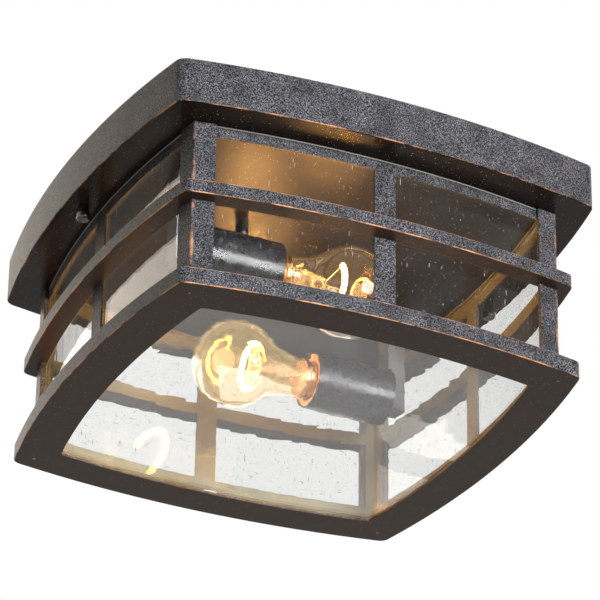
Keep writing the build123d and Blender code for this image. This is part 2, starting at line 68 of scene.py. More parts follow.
camera_data = bpy.data.cameras.new("photo_camera")
camera_data.sensor_width = SENSOR_MM
camera_data.lens = FOCAL_PIXELS / PHOTO_PIXELS * SENSOR_MM
camera_data.clip_end = FARTHEST_SEEN
camera = bpy.data.objects.new("photo_camera", camera_data)
bpy.context.scene.collection.objects.link(camera)
backwards = Vector((sin(AZIMUTH) * cos(ELEVATION), -cos(AZIMUTH) * cos(ELEVATION), sin(ELEVATION)))
camera.rotation_mode = "QUATERNION"
camera.rotation_quaternion = (-backwards).to_track_quat("-Z", "Y") @ Quaternion((0, 0, 1), ROLL)
right = camera.rotation_quaternion @ Vector((1, 0, 0))
up = camera.rotation_quaternion @ Vector((0, 1, 0))
camera.location = right * ASIDE + up * LIFT + backwards * DISTANCE
bpy.context.scene.camera = camera
bpy.context.scene.view_settings.view_transform = "Standard"
print("lens", round(camera_data.lens, 1), "mm at", [round(v, 2) for v in camera.location])

# %% [markdown]
# ## Helpers for materials
# Colours are written as sRGB hex codes, the way a paint chart gives them, and turned to linear once.
# One small function adds a shader node, sets it and links it, so that a material reads as a list of
# what feeds what. Pattern scales are worked out from sizes in millimetres.

# %% Helpers for materials


def linear(code):
    """A colour such as #3a3634 as linear red, green, blue and alpha, by the sRGB curve."""
    parts = [int(code[place:place + 2], 16) / 255 for place in (1, 3, 5)]
    curved = [part / 12.92 if part <= 0.04045 else ((part + 0.055) / 1.055) ** 2.4 for part in parts]
    return (*curved, 1.0)


def put(tree, kind, inputs=None, **settings):
    """Adds a node, sets its properties, and gives each named input a value or a link."""
    made = tree.nodes.new(kind)
    for name, value in settings.items():
        setattr(made, name, value)
    for name, value in (inputs or {}).items():
        if isinstance(value, bpy.types.NodeSocket):
            tree.links.new(value, made.inputs[name])
        else:
            made.inputs[name].default_value = value
    return made


def new_material(name):
    """An empty material and its node tree."""
    made = bpy.data.materials.new(name)
    made.use_nodes = True
    made.node_tree.nodes.clear()
    return made, made.node_tree


def per_metre(millimetres):
    """The texture scale at which one cell of a pattern is this wide."""
    return 1000.0 / millimetres


FINISHES = {}
print("middle grey #808080 is", round(linear("#808080")[0], 3), "in linear light")

# %% [markdown]
# ## Studio
# The lantern hangs high over a pale floor in a white studio. Walls could be modelled, but a world that
# answers each kind of ray by itself is easier to set. The camera, and glass that is looked through, see
# paper white. Diffuse surfaces get a much lower level, so that the dark paint stays dark. What mirrors
# show runs from a dim side behind the camera, which keeps the front panes clear, to a bright back wall.

# %% World
AMBIENT = 0.12
PAPER_WHITE = 1.0
DIM_SIDE = 0.05
DIM_SIDE_AT = -1.0
BACK_WALL = 1.9
BACK_WALL_AT = 0.8
PLAIN_WHITE = (1, 1, 1, 1)
# Ray depths are whole numbers, so half a bounce parts none from one or more.
HALF_A_BOUNCE = 0.5

world = bpy.data.worlds.new("white_studio")
world.use_nodes = True
bpy.context.scene.world = world
sky = world.node_tree
sky.nodes.clear()
rays = put(sky, "ShaderNodeLightPath")
mirrored = put(sky, "ShaderNodeMath", {
    0: rays.outputs["Glossy Depth"], 1: HALF_A_BOUNCE}, operation="GREATER_THAN")
scattered = put(sky, "ShaderNodeMath", {
    0: rays.outputs["Diffuse Depth"], 1: HALF_A_BOUNCE}, operation="GREATER_THAN")
way = put(sky, "ShaderNodeTexCoord").outputs["Generated"]
where = put(sky, "ShaderNodeSeparateXYZ", {"Vector": way})
studio = put(sky, "ShaderNodeMapRange", {
    "Value": where.outputs["Y"], "From Min": DIM_SIDE_AT, "From Max": BACK_WALL_AT,
    "To Min": DIM_SIDE, "To Max": BACK_WALL}, interpolation_type="SMOOTHSTEP")
level = put(sky, "ShaderNodeMix", {
    0: mirrored.outputs[0], 2: PAPER_WHITE, 3: studio.outputs["Result"]}, data_type="FLOAT")
level = put(sky, "ShaderNodeMix", {
    0: scattered.outputs[0], 2: level.outputs[0], 3: AMBIENT}, data_type="FLOAT")
tone = put(sky, "ShaderNodeMix", {
    0: mirrored.outputs[0], 6: PLAIN_WHITE, 7: linear("#fff4e6")}, data_type="RGBA")
white = put(sky, "ShaderNodeBackground", {"Color": tone.outputs[2], "Strength": level.outputs[0]})
put(sky, "ShaderNodeOutputWorld", {"Surface": white.outputs[0]})
print("mirrors see", DIM_SIDE, "to", BACK_WALL, "and diffuse surfaces", AMBIENT)

# %% Floor
FLOOR_LEVEL = -2.4
FLOOR_SIZE = 80.0
# Mirrors see the floor a little dimmer than the camera does.
MIRRORED_FLOOR = 0.85
# The part of what is seen of the floor that glows by itself; the rest is lit as paper is.
GLOWING_SHARE = 0.85

floor_mesh = bpy.data.meshes.new("studio_floor")
reach = FLOOR_SIZE / 2
floor_mesh.from_pydata([(-reach, -reach, FLOOR_LEVEL), (reach, -reach, FLOOR_LEVEL),
                        (reach, reach, FLOOR_LEVEL), (-reach, reach, FLOOR_LEVEL)], [], [(0, 1, 2, 3)])
floor = bpy.data.objects.new("studio_floor", floor_mesh)
bpy.context.scene.collection.objects.link(floor)

# Matt background paper: an even white with no edge, and no glare.
paper, tree = new_material("white_paper_floor")
rays = put(tree, "ShaderNodeLightPath")
seen = put(tree, "ShaderNodeMath", {
    0: rays.outputs["Diffuse Depth"], 1: HALF_A_BOUNCE}, operation="LESS_THAN")
share = put(tree, "ShaderNodeMath", {0: seen.outputs[0], 1: GLOWING_SHARE}, operation="MULTIPLY")
plain = put(tree, "ShaderNodeBsdfDiffuse", {"Color": linear("#dcdcda")})
mirrored = put(tree, "ShaderNodeMath", {
    0: rays.outputs["Glossy Depth"], 1: HALF_A_BOUNCE}, operation="GREATER_THAN")
strength = put(tree, "ShaderNodeMix", {
    0: mirrored.outputs[0], 2: PAPER_WHITE, 3: MIRRORED_FLOOR}, data_type="FLOAT")
lit = put(tree, "ShaderNodeEmission", {"Color": PLAIN_WHITE, "Strength": strength.outputs[0]})
both = put(tree, "ShaderNodeMixShader", {0: share.outputs[0], 1: plain.outputs[0], 2: lit.outputs[0]})
put(tree, "ShaderNodeOutputMaterial", {"Surface": both.outputs[0]})
floor_mesh.materials.append(paper)
print("floor", FLOOR_SIZE, "m wide at", FLOOR_LEVEL, "m")

# %% [markdown]
# ## Lights
# A compact box at the front gives most of the light. A wider one, low at the right, shows as a band of
# light along the sockets' black sleeves. Weak boxes at the left, behind and above fill the other sides.
# The two lamps burn. A glowing wire alone would light the plate with much noise, so a small warm light
# sits in each globe, at the filament.

# %% Soft boxes
MIDDLE = Vector((0.0, 0.0, -0.08))
SOFT_BOXES = {
    "front_box": dict(place=(0.2, -3.05, 0.165), width=0.36, watts=242.0, colour="#e6eeff"),
    "low_box": dict(place=(0.82, -1.95, -0.45), width=1.1, watts=52.0, colour="#ffffff"),
    "left_box": dict(place=(-2.4, -0.2, -0.1), width=1.6, watts=9.0, colour="#fff1e0"),
    "back_box": dict(place=(-1.6, 2.4, 0.2), width=1.6, watts=16.0, colour="#ffffff"),
    "top_box": dict(place=(0.2, -0.2, 2.4), width=1.6, watts=18.0, colour="#ffffff"),
}
for name, made_as in SOFT_BOXES.items():
    data = bpy.data.lights.new(name, "AREA")
    data.size = made_as["width"]
    data.energy = made_as["watts"]
    data.color = linear(made_as["colour"])[:3]
    box = bpy.data.objects.new(name, data)
    bpy.context.scene.collection.objects.link(box)
    box.location = made_as["place"]
    box.rotation_mode = "QUATERNION"
    box.rotation_quaternion = (MIDDLE - Vector(made_as["place"])).to_track_quat("-Z", "Y")
print("soft boxes:", ", ".join(SOFT_BOXES))

# %% Warm light in the lamps
# The back lamp's globe. The front lamp is the same one, half a turn round the lantern's middle.
LAMP_CENTRE = Vector((-0.0126, 0.0613, -0.0852))
FILAMENT_CENTRE = LAMP_CENTRE + Vector((0.011, 0, 0))
LAMP_TURNS = {"back": Vector((1, 1, 1)), "front": Vector((-1, -1, 1))}
LAMP_LIGHT_W = {"back": 1.8, "front": 1.2}
LAMP_LIGHT_RADIUS = 0.010
for name, turn in LAMP_TURNS.items():
    data = bpy.data.lights.new(f"lamp_light_{name}", "POINT")
    data.energy = LAMP_LIGHT_W[name]
    data.color = linear("#ffc57e")[:3]
    data.shadow_soft_size = LAMP_LIGHT_RADIUS
    lamp_light = bpy.data.objects.new(f"lamp_light_{name}", data)
    bpy.context.scene.collection.objects.link(lamp_light)
    lamp_light.location = FILAMENT_CENTRE * turn
    lamp_light.visible_transmission = False
    print(lamp_light.name, [round(v, 3) for v in lamp_light.location])

# %% [markdown]
# ## Textured bronze powder coat
# The metalwork is folded steel with a fine-textured dark powder coat. The glints of its grit are painted
# as pale flecks, and the coat is rubbed through to copper along the outer edges, as on any oil-rubbed
# bronze finish.
# The edges could be painted by hand, but every outline here is the same bowed square at another size,
# so one field gives the distance to all of them: the "half" of the bowed outline through a point.

# %% Bowed outlines as a field
# Each bowed side is an arc round a point this far past the lantern's middle.
BOW_CENTRE = 0.550


def bowed_field(tree, point):
    """The half of the bowed outline that runs through a point."""
    halves = []
    for along, across in (("X", "Y"), ("Y", "X")):
        out = put(tree, "ShaderNodeMath", {0: point.outputs[across]}, operation="ABSOLUTE")
        out = put(tree, "ShaderNodeMath", {0: out.outputs[0], 1: BOW_CENTRE}, operation="ADD")
        pair = put(tree, "ShaderNodeCombineXYZ", {"X": point.outputs[along], "Y": out.outputs[0]})
        far = put(tree, "ShaderNodeVectorMath", {0: pair.outputs[0]}, operation="LENGTH")
        half = put(tree, "ShaderNodeMath", {
            0: far.outputs["Value"], 1: BOW_CENTRE}, operation="SUBTRACT")
        halves.append(half.outputs[0])
    return put(tree, "ShaderNodeMath", {0: halves[0], 1: halves[1]}, operation="MAXIMUM").outputs[0]


# Fine-textured powder coat: near black with painted pale glints of its grit, hardly mirrored, and copper
# where it is rubbed.
coat, tree = new_material("textured_bronze_powder_coat")
place = put(tree, "ShaderNodeTexCoord").outputs["Object"]
point = put(tree, "ShaderNodeSeparateXYZ", {0: place})
height = point.outputs["Z"]
half = bowed_field(tree, point)
profile = put(tree, "ShaderNodeCombineXYZ", {"X": half, "Y": height}).outputs[0]
print("bowed sides round a point", BOW_CENTRE, "m past the middle")

# %% Rubbed edges and a painted edge highlight
# Each edge is given by the half of its outline and its height, in metres.
RUBBED_EDGES = {
    "pan, lower": (0.1650, -0.0313),
    "band, upper": (0.1518, -0.0792),
    "band, lower": (0.1518, -0.0886),
    "bottom frame, upper": (0.1548, -0.1441),
    "bottom frame, lower": (0.1548, -0.1557),
}
# A painted highlight: a thin pale line along the top rail's upper edge, where the edge catches light.
HIGHLIGHTED_EDGES = {"top rail, upper": (0.1400, -0.0315)}
EDGE_HIGHLIGHT_WIDTH = 0.0006
POST_CORNER = (0.1297, 0.1297, 0)
# Distances to a post count half, so that the posts wear twice as wide.
POST_SHARE = 0.5
# Wear comes in patches along an edge, narrow in some and wide in others.
RUB_MM = 22.0
RUB_CONTRAST = {"From Min": 0.35, "From Max": 0.65}
RUB_WIDTHS = {"To Min": 0.0002, "To Max": 0.0011}
FAR_AWAY = 1.0


def nearest_edge(tree, profile, edges, nearest):
    """The least of a given distance and the distances to some edges of the profile."""
    for edge in edges.values():
        away = put(tree, "ShaderNodeVectorMath", {0: profile, 1: (*edge, 0)}, operation="DISTANCE")
        least = put(tree, "ShaderNodeMath", {0: nearest, 1: away.outputs["Value"]}, operation="MINIMUM")
        nearest = least.outputs[0]
    return nearest


quadrant = put(tree, "ShaderNodeVectorMath", {0: place}, operation="ABSOLUTE")
plan = put(tree, "ShaderNodeVectorMath", {0: quadrant.outputs[0], 1: (1, 1, 0)}, operation="MULTIPLY")
post = put(tree, "ShaderNodeVectorMath", {0: plan.outputs[0], 1: POST_CORNER}, operation="DISTANCE")
post = put(tree, "ShaderNodeMath", {0: post.outputs["Value"], 1: POST_SHARE}, operation="MULTIPLY")
worn = nearest_edge(tree, profile, RUBBED_EDGES, post.outputs[0])
edge_highlight_distance = nearest_edge(tree, profile, HIGHLIGHTED_EDGES, FAR_AWAY)
painted_edge_highlight = put(tree, "ShaderNodeMapRange", {
    "Value": edge_highlight_distance, "From Min": EDGE_HIGHLIGHT_WIDTH, "From Max": 0.0}).outputs[0]
patches = put(tree, "ShaderNodeTexNoise", {
    "Vector": place, "Scale": per_metre(RUB_MM), "Detail": 6.0, "Roughness": 0.7})
width = put(tree, "ShaderNodeMapRange", {"Value": patches.outputs[0], **RUB_CONTRAST, **RUB_WIDTHS})
rubbed = put(tree, "ShaderNodeMapRange", {
    "Value": worn, "From Min": width.outputs[0], "From Max": 0.0, "To Min": 0.0, "To Max": 1.0},
    interpolation_type="SMOOTHSTEP").outputs[0]
print("rubbed edges:", ", ".join(RUBBED_EDGES))

# %% Grit and flecks
# The grit of such a coat is a few tenths of a millimetre. It is drawn coarser, so that it shows.
GRIT_MM = 0.85
GRAIN_COLOURS = {0.45: "#0b0908", 0.64: "#555251"}
FLECK_MM = 1.0
FLECK_EDGE = {"From Min": 0.26, "From Max": 0.12}
FLECK_STRENGTH = 0.68
BLOTCH_MM = 16.0
BLOTCH_SHADES = {"To Min": 0.6, "To Max": 1.2}
# Noise gathers round one half, and this range holds nearly all of it.
NOISE_RANGE = {"From Min": 0.3, "From Max": 0.7}

grit = put(tree, "ShaderNodeTexNoise", {
    "Vector": place, "Scale": per_metre(GRIT_MM), "Detail": 3.0, "Roughness": 0.6}).outputs[0]
fleck = put(tree, "ShaderNodeTexVoronoi", {
    "Vector": place, "Scale": per_metre(FLECK_MM), "Randomness": 1.0})
blotch = put(tree, "ShaderNodeTexNoise", {
    "Vector": place, "Scale": per_metre(BLOTCH_MM), "Detail": 2.0})
grain = put(tree, "ShaderNodeValToRGB", {"Fac": grit})
for stop, (position, colour) in zip(grain.color_ramp.elements, GRAIN_COLOURS.items()):
    stop.position = position
    stop.color = linear(colour)
# The pale flecks are painted glints: highlights of the grit put into the colour.
painted_glints = put(tree, "ShaderNodeMapRange", {
    "Value": fleck.outputs["Distance"], **FLECK_EDGE, "To Min": 0.0, "To Max": FLECK_STRENGTH})
paint = put(tree, "ShaderNodeMix", {
    0: painted_glints.outputs[0], 6: grain.outputs[0], 7: linear("#98989c")}, data_type="RGBA")
shade = put(tree, "ShaderNodeMapRange", {"Value": blotch.outputs[0], **NOISE_RANGE, **BLOTCH_SHADES})
paint = put(tree, "ShaderNodeVectorMath", {
    0: paint.outputs[2], "Scale": shade.outputs[0]}, operation="SCALE").outputs[0]
print("grit", GRIT_MM, "mm and flecks", FLECK_MM, "mm apart")

# %% Undersides and lip in painted shade, inside in painted lamp light
# The undersides are painted in shade, darker than the sides, and are smoother, with a few pale specks.
# The lip under the pan, a recess, is painted in the darkest shade and is the smoothest of them. Faces
# towards the inside get an olive tone that is painted lamp light.
UNDERSIDES = (-0.0313, -0.0886, -0.1557)
UNDERSIDE_WITHIN = 0.0004
LIP_ABOVE = -0.06
SPECK_MM = 2.8
SPECK_EDGE = {"From Min": 0.11, "From Max": 0.05}
INNER_FACE = 0.1388
FLANGE_TOP = -0.1538

below = FAR_AWAY
for underside in UNDERSIDES:
    away = put(tree, "ShaderNodeMath", {0: height, 1: underside}, operation="SUBTRACT")
    away = put(tree, "ShaderNodeMath", {0: away.outputs[0]}, operation="ABSOLUTE")
    below = put(tree, "ShaderNodeMath", {0: away.outputs[0], 1: below}, operation="MINIMUM").outputs[0]
shaded_underside = put(tree, "ShaderNodeMath", {0: below, 1: UNDERSIDE_WITHIN}, operation="LESS_THAN").outputs[0]
speck = put(tree, "ShaderNodeTexVoronoi", {
    "Vector": place, "Scale": per_metre(SPECK_MM), "Randomness": 1.0})
speck = put(tree, "ShaderNodeMapRange", {
    "Value": speck.outputs["Distance"], **SPECK_EDGE, "To Min": 0.0, "To Max": 1.0})
shaded_lip = put(tree, "ShaderNodeMath", {0: height, 1: LIP_ABOVE}, operation="GREATER_THAN")
shaded_lip = put(tree, "ShaderNodeMath", {0: shaded_lip.outputs[0], 1: shaded_underside}, operation="MULTIPLY").outputs[0]
# Painted shade: a dark brown on the undersides, darker still on the recessed lip.
shaded_coat_colour = put(tree, "ShaderNodeMix", {
    0: shaded_lip, 6: linear("#2b2018"), 7: linear("#130d09")}, data_type="RGBA")
underside_coat_in_painted_shade = put(tree, "ShaderNodeMix", {
    0: speck.outputs[0], 6: shaded_coat_colour.outputs[2], 7: linear("#968a7c")}, data_type="RGBA")
paint = put(tree, "ShaderNodeMix", {
    0: shaded_underside, 6: paint, 7: underside_coat_in_painted_shade.outputs[2]}, data_type="RGBA").outputs[2]
# Painted lamp light: faces towards the inside, above the bottom flange, are tinted olive.
painted_lamp_light_inside = put(tree, "ShaderNodeMath", {0: half, 1: INNER_FACE}, operation="LESS_THAN")
above = put(tree, "ShaderNodeMath", {0: height, 1: FLANGE_TOP}, operation="GREATER_THAN")
painted_lamp_light_inside = put(tree, "ShaderNodeMath", {0: painted_lamp_light_inside.outputs[0], 1: above.outputs[0]}, operation="MULTIPLY")
paint = put(tree, "ShaderNodeMix", {
    0: painted_lamp_light_inside.outputs[0], 6: paint, 7: linear("#464331")}, data_type="RGBA").outputs[2]
print("smooth undersides at", UNDERSIDES)

# %% Colour, gloss and bumps of the coat
COPPER_METALLIC = 0.4
# The crests of the grit are a little glossier than the pits.
GRIT_GLOSS = {"To Min": 0.42, "To Max": 0.30}
LIP_ROUGHNESS = 0.24
# Matched: such a coat mirrors far less than smooth paint does.
COAT_SPECULAR = 0.09
GRIT_STRENGTHS = {"To Min": 0.25, "To Max": 0.12}
GRIT_HEIGHT = 0.0005

# The pale line along the top rail is a painted highlight.
paint = put(tree, "ShaderNodeMix", {0: painted_edge_highlight, 6: paint, 7: linear("#a5a099")}, data_type="RGBA").outputs[2]
copper = put(tree, "ShaderNodeMix", {0: rubbed, 6: paint, 7: linear("#c08456")}, data_type="RGBA")
metal = put(tree, "ShaderNodeMath", {0: rubbed, 1: COPPER_METALLIC}, operation="MULTIPLY")
rough = put(tree, "ShaderNodeMapRange", {"Value": grit, **NOISE_RANGE, **GRIT_GLOSS})
rough = put(tree, "ShaderNodeMix", {0: shaded_lip, 2: rough.outputs[0], 3: LIP_ROUGHNESS}, data_type="FLOAT")
depth = put(tree, "ShaderNodeMapRange", {"Value": shaded_underside, **GRIT_STRENGTHS})
bumps = put(tree, "ShaderNodeBump", {
    "Strength": depth.outputs[0], "Distance": GRIT_HEIGHT, "Height": grit})
shader = put(tree, "ShaderNodeBsdfPrincipled", {
    "Base Color": copper.outputs[2], "Metallic": metal.outputs[0], "Roughness": rough.outputs[0],
    "Specular IOR Level": COAT_SPECULAR, "Normal": bumps.outputs[0]})
put(tree, "ShaderNodeOutputMaterial", {"Surface": shader.outputs[0]})
FINISHES["textured_bronze"] = coat
print(coat.name, "nodes:", len(tree.nodes))

# %% [markdown]
# ## Seeded glass
# The panes are clear drawn glass with seeds, small air bubbles stretched along the draw. Light from the
# lamps has to pass the panes, which plain glass stops in Cycles, so rays that look for a lamp pass
# straight through and all others see real glass. The surface is slightly wavy along the draw.

# %% A clear glass
GLASS_IOR = 1.5


def clear_glass(name, tint, height=None, strength=0.0, reach=0.0, glow=None, glow_strength=0.0):
    """Smooth glass that lets lamp light by. height is a function that gives a bump pattern."""
    made, tree = new_material(name)
    place = put(tree, "ShaderNodeTexCoord").outputs["Object"]
    inputs = {"Base Color": linear(tint), "Roughness": 0.0, "IOR": GLASS_IOR, "Transmission Weight": 1.0}
    if height:
        inputs["Normal"] = put(tree, "ShaderNodeBump", {
            "Strength": strength, "Distance": reach, "Height": height(tree, place)}).outputs[0]
    if glow:
        inputs["Emission Color"] = linear(glow)
        inputs["Emission Strength"] = glow_strength
    shader = put(tree, "ShaderNodeBsdfPrincipled", inputs)
    rays = put(tree, "ShaderNodeLightPath")
    open_way = put(tree, "ShaderNodeBsdfTransparent", {"Color": linear(tint)})
    both = put(tree, "ShaderNodeMixShader", {
        0: rays.outputs["Is Shadow Ray"], 1: shader.outputs[0], 2: open_way.outputs[0]})
    put(tree, "ShaderNodeOutputMaterial", {"Surface": both.outputs[0]})
    return made


# %% Glass of the panes and the lamps
WAVE_MM = 26.0
WAVE_STRENGTH = 0.25
WAVE_HEIGHT = 0.001
ALONG_THE_DRAW = (1.0, 1.0, 0.25)
DIMPLE_MM = 4.0
DIMPLE_STRENGTH = 1.0
DIMPLE_HEIGHT = 0.003


def drawn_waves(tree, place):
    """Long soft waves, stretched along the draw."""
    longer = put(tree, "ShaderNodeMapping", {"Vector": place, "Scale": ALONG_THE_DRAW})
    return put(tree, "ShaderNodeTexNoise", {
        "Vector": longer.outputs[0], "Scale": per_metre(WAVE_MM), "Detail": 1.5}).outputs[0]


def melted_dimples(tree, place):
    """The crumpled surface of glass that was pinched while soft."""
    return put(tree, "ShaderNodeTexNoise", {
        "Vector": place, "Scale": per_metre(DIMPLE_MM), "Detail": 2.0}).outputs[0]


# Drawn glass: clear, with a slow wave in what is seen through it.
FINISHES["seeded_glass"] = clear_glass(
    "seeded_drawn_glass", "#fafbfa", drawn_waves, WAVE_STRENGTH, WAVE_HEIGHT)
# Blown lamp glass: thin and clear, with a faint painted glow of the burning lamp's warm light all over.
FINISHES["lamp_glass"] = clear_glass(
    "blown_lamp_glass", "#fff6e6", glow="#ffc98a", glow_strength=0.022)
# The same glass on the back lamp, with a brighter, yellower painted glow.
glass_with_brighter_painted_glow = clear_glass(
    "blown_lamp_glass_with_brighter_painted_glow", "#fff6e6", glow="#ffda84", glow_strength=0.085)
# Pinched stem glass: crumpled, so that it breaks up what is behind it, and with a painted glow of the
# lamp's light.
stem_glass = clear_glass(
    "pinched_stem_glass", "#fff2dc", melted_dimples, DIMPLE_STRENGTH, DIMPLE_HEIGHT,
    glow="#ffe2a0", glow_strength=0.05)
print("glass:", FINISHES["seeded_glass"].name, FINISHES["lamp_glass"].name, stem_glass.name)

# %% [markdown]
# ## Plain finishes
# The hidden and small pieces have ordinary finishes: satin paint, zinc and nickel plate, porcelain,
# plastic. Each still gets its own fine unevenness, because no real surface has one flat colour. One
# function makes them all, since they differ only in colours, gloss and the size of their spots.

# %% A mottled finish
MOTTLE_HEIGHT = 0.0002


def mottled(name, dark, light, spot_mm, rough, metallic=0.0, stretch=(1, 1, 1), bump=0.0,
            coat_weight=0.0, specular=0.5, clear=0.0, wander=0.15):
    """A finish whose colour and gloss wander a little over spots of a given size."""
    made, tree = new_material(name)
    place = put(tree, "ShaderNodeTexCoord").outputs["Object"]
    longer = put(tree, "ShaderNodeMapping", {"Vector": place, "Scale": stretch})
    spots = put(tree, "ShaderNodeTexNoise", {
        "Vector": longer.outputs[0], "Scale": per_metre(spot_mm), "Detail": 2.0}).outputs[0]
    colour = put(tree, "ShaderNodeMix", {0: spots, 6: linear(dark), 7: linear(light)}, data_type="RGBA")
    gloss = put(tree, "ShaderNodeMapRange", {
        "Value": spots, **NOISE_RANGE, "To Min": rough * (1 - wander), "To Max": rough * (1 + wander)})
    inputs = {"Base Color": colour.outputs[2], "Roughness": gloss.outputs[0], "Metallic": metallic,
              "Coat Weight": coat_weight, "Specular IOR Level": specular,
              "Transmission Weight": clear}
    if bump:
        inputs["Normal"] = put(tree, "ShaderNodeBump", {
            "Strength": bump, "Distance": MOTTLE_HEIGHT, "Height": spots}).outputs[0]
    shader = put(tree, "ShaderNodeBsdfPrincipled", inputs)
    put(tree, "ShaderNodeOutputMaterial", {"Surface": shader.outputs[0]})
    return made


# %% Seeds, paint and porcelain
ROLLED = (0.04, 1, 1)

# Seeds in the panes that face the lights: pale and partly clear.
seed_lit = mottled("air_seed_in_the_light", "#6f7372", "#969a99", spot_mm=1.0, rough=0.12, clear=0.3)
# Seeds in the other panes: dark, as bubbles are against the light.
seed_dim = mottled("air_seed_against_the_light", "#2c3030", "#484c4c", spot_mm=1.0, rough=0.12, clear=0.2)
# Rolled sheet under satin paint: near black, with a soft sheen that hardly varies.
FINISHES["satin_plate"] = mottled(
    "satin_bronze_painted_sheet", "#0d0b0a", "#0f0c0b", spot_mm=2.0, rough=0.28, stretch=ROLLED,
    specular=0.22, wander=0.02)
# Tube under satin paint: black, with a clear band of light along it.
FINISHES["black_sleeve"] = mottled(
    "satin_black_painted_tube", "#0b0b0c", "#121213", spot_mm=6.0, rough=0.28, specular=0.75)
# Folded sheet under grey paint: dull and dark.
FINISHES["arm_paint"] = mottled(
    "grey_painted_arm", "#343434", "#464646", spot_mm=8.0, rough=0.45, metallic=0.2)
# Glazed porcelain: warm ivory under a thin gloss.
FINISHES["porcelain"] = mottled(
    "ivory_glazed_porcelain", "#d9b276", "#ecd0a0", spot_mm=5.0, rough=0.30, coat_weight=0.4)
print("seeds, paint and porcelain:", seed_lit.name, seed_dim.name, len(FINISHES), "finishes so far")

# %% Metals
# Pressed brass: yellow and softly mirrored.
FINISHES["brass"] = mottled("plain_brass", "#b08a48", "#d8b468", spot_mm=4.0, rough=0.30, metallic=1.0)
# Zinc plate: cool grey, half dull.
FINISHES["zinc_steel"] = mottled(
    "zinc_plated_steel", "#7c7e80", "#9fa1a1", spot_mm=5.0, rough=0.42, metallic=1.0)
# Black nickel plate: dark, with sharp highlights.
FINISHES["black_nickel"] = mottled(
    "black_nickel_plate", "#3a3634", "#6a645e", spot_mm=1.5, rough=0.17, metallic=1.0)
# Rolled screw base: plated; its warm tone is painted light of the burning lamp.
FINISHES["nickel_base"] = mottled(
    "rolled_nickel_base_in_painted_lamp_light", "#b98d55", "#dcb987", spot_mm=4.0, rough=0.28, metallic=1.0)
# Soft solder: a pale, lumpy drop.
FINISHES["solder"] = mottled(
    "soft_solder", "#8d8f91", "#c0c1c2", spot_mm=1.5, rough=0.40, metallic=1.0, bump=0.3)
# Drawn wire: pale, with a thin glint.
FINISHES["lead_in_wire"] = mottled(
    "lead_in_wire", "#8f8a80", "#b8b2a4", spot_mm=2.0, rough=0.35, metallic=1.0)
print("finishes with the metals:", len(FINISHES))

# %% Lacquer, insulation and the lit wire
FILAMENT_STRENGTH = 50.0

# Black glass insulator: a deep gloss.
FINISHES["black_vitrite"] = mottled(
    "black_glass_insulator", "#0c0c0d", "#1a1a1c", spot_mm=3.0, rough=0.15)
# Lacquered screw: green, half glossy.
FINISHES["green_screw"] = mottled(
    "green_lacquered_screw", "#1f6a32", "#2f8a46", spot_mm=2.0, rough=0.35)
# Extruded wire insulation: dull and even.
FINISHES["black_lead"] = mottled(
    "black_wire_insulation", "#161616", "#262626", spot_mm=4.0, rough=0.50)
FINISHES["white_lead"] = mottled(
    "white_wire_insulation", "#d6d4cc", "#eceae4", spot_mm=4.0, rough=0.50)
# Moulded plastic: orange, with a faint grain.
FINISHES["orange_connector"] = mottled(
    "orange_moulded_plastic", "#cf5a1c", "#e5752f", spot_mm=5.0, rough=0.42, bump=0.1)
# Lit tungsten: too bright for the eye to see any surface.
hot, tree = new_material("lit_tungsten")
shader = put(tree, "ShaderNodeBsdfPrincipled", {
    "Base Color": linear("#ffdca8"), "Roughness": 0.5,
    "Emission Color": linear("#ffca78"), "Emission Strength": FILAMENT_STRENGTH})
put(tree, "ShaderNodeOutputMaterial", {"Surface": shader.outputs[0]})
FINISHES["filament_glow"] = hot
print("all finishes:", len(FINISHES))

# %% [markdown]
# ## Dressing the CAD pieces
# The CAD model's record names a slot for each piece, and each slot has one finish. Only the stems and
# the back lamp's globe differ from the rest of their slot, so they are dressed by name.

# %% Finishes onto pieces
for part in frame["record"]["subparts"]:
    node = frame["nodes"][part["node"]]
    node.data.materials.clear()
    node.data.materials.append(FINISHES[part["material_slot"]])
for name in ("lamp_stem_back", "lamp_stem_front"):
    frame["nodes"][name].data.materials[0] = stem_glass
frame["nodes"]["lamp_glass_back"].data.materials[0] = glass_with_brighter_painted_glow

# %% [markdown]
# ## Seeds in the glass
# Old-style panes are full of seeds. Modelling them by hand is hopeless and a bump map would only dent
# the surface, so a node tree scatters small stretched bodies through the thickness of each pane. A real
# seed is air, and shows only by how it bends light. That is too fine to show here, so the seeds are
# bodies of their own: pale in the panes that face the lights, dark in those seen against the light.

# %% Trees that grow pieces


def node_tree(name, kinds):
    """A geometry node tree with named inputs, and its input node."""
    tree = bpy.data.node_groups.new(name, "GeometryNodeTree")
    tree.interface.new_socket("Geometry", in_out="INPUT", socket_type="NodeSocketGeometry")
    for label, kind in kinds.items():
        tree.interface.new_socket(label, in_out="INPUT", socket_type=f"NodeSocket{kind}")
    tree.interface.new_socket("Geometry", in_out="OUTPUT", socket_type="NodeSocketGeometry")
    return tree, put(tree, "NodeGroupInput").outputs


def grown(name, source, tree, values):
    """What a tree makes of a mesh, as a plain mesh at the origin."""
    holder = bpy.data.objects.new(f"{name}_source", source)
    bpy.context.scene.collection.objects.link(holder)
    modifier = holder.modifiers.new("grow", "NODES")
    modifier.node_group = tree
    for socket in tree.interface.items_tree:
        if socket.in_out == "INPUT" and socket.name in values:
            modifier[socket.identifier] = values[socket.name]
    graph = bpy.context.evaluated_depsgraph_get()
    made = bpy.data.objects.new(name, bpy.data.meshes.new_from_object(holder.evaluated_get(graph)))
    made.data.name = name
    bpy.data.objects.remove(holder)
    bpy.context.scene.collection.objects.link(made)
    return made


# %% Where the seeds lie
# A face counts as outer when its normal leads this far away from the lantern's middle, in metres.
OUTER_FACE = 0.06
# How far below the outer face a seed lies, from the deepest to the shallowest.
SEED_DEPTHS = {2: -0.0022, 3: -0.0008}
DEPTH_LOT = 1

